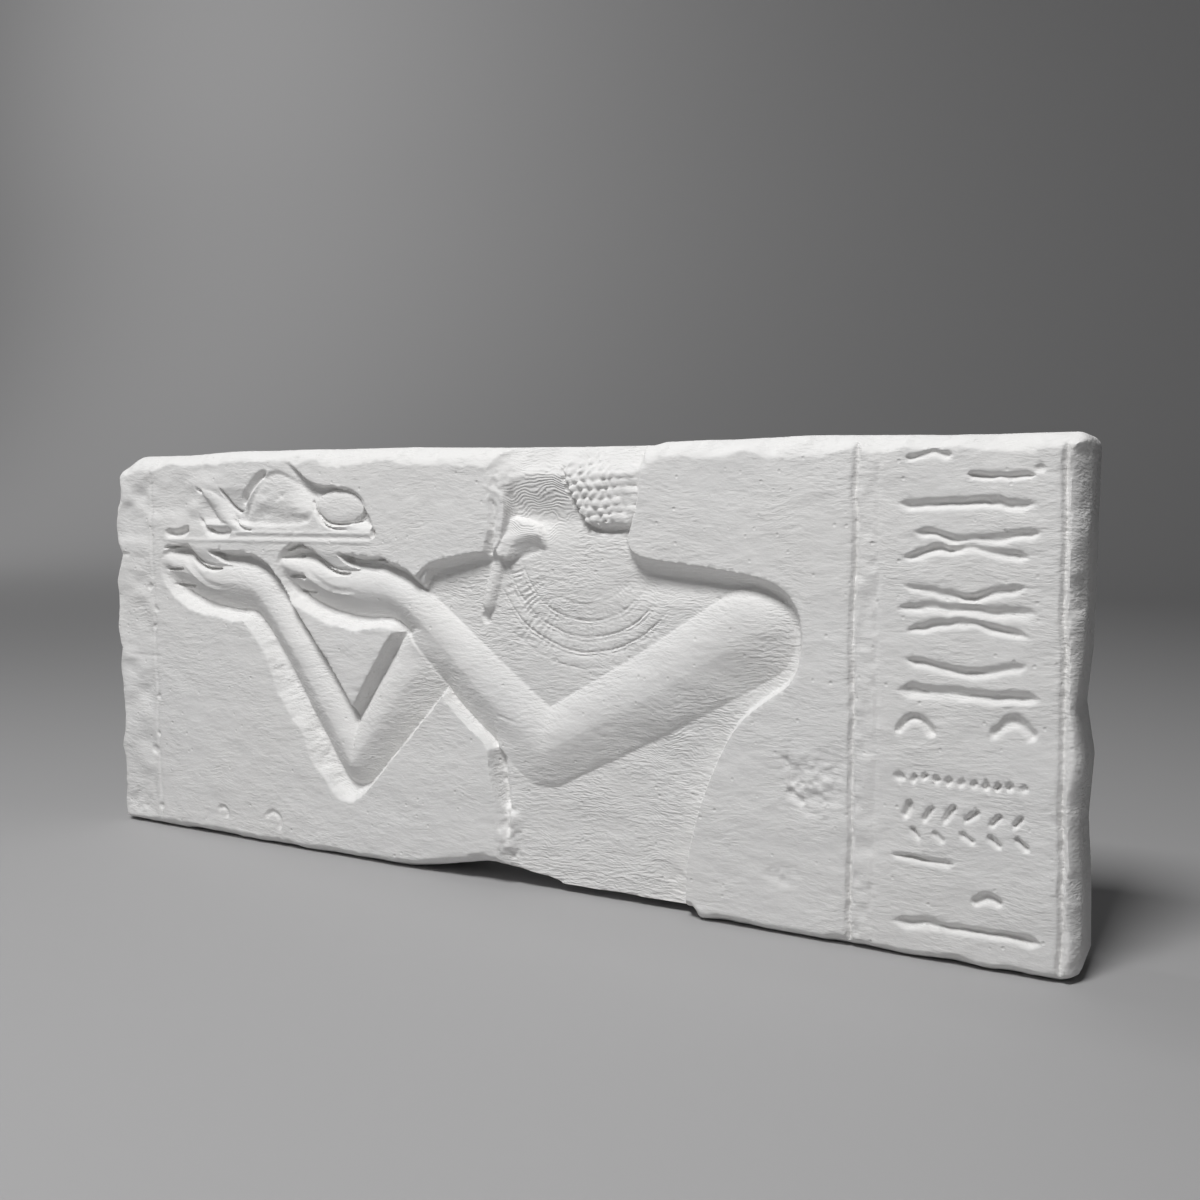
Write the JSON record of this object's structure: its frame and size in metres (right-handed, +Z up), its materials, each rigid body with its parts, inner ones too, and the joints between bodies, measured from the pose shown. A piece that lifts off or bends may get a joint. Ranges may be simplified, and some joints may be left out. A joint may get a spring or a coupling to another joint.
{
  "type": "relief plaque",
  "caption": "White plaster cast of a sunk relief fragment: two bent arms hold out a laden tray beside a broken figure, with a column of worn strokes at the right",
  "frame": {"origin": "middle of the slab's length and thickness, on the surface that its lower edge stands on", "axes": "+X runs along the slab towards the column of strokes, the carved front faces -Y and the flat back +Y, +Z is up"},
  "size_m": [0.303, 0.022, 0.123],
  "materials": {
    "plaster": "dry matte white plaster with fine level ripples, pores and slightly warm worn edges"
  },
  "bodies": {
    "root": {"relief_plaque": "plaster"}
  },
  "joints": []
}
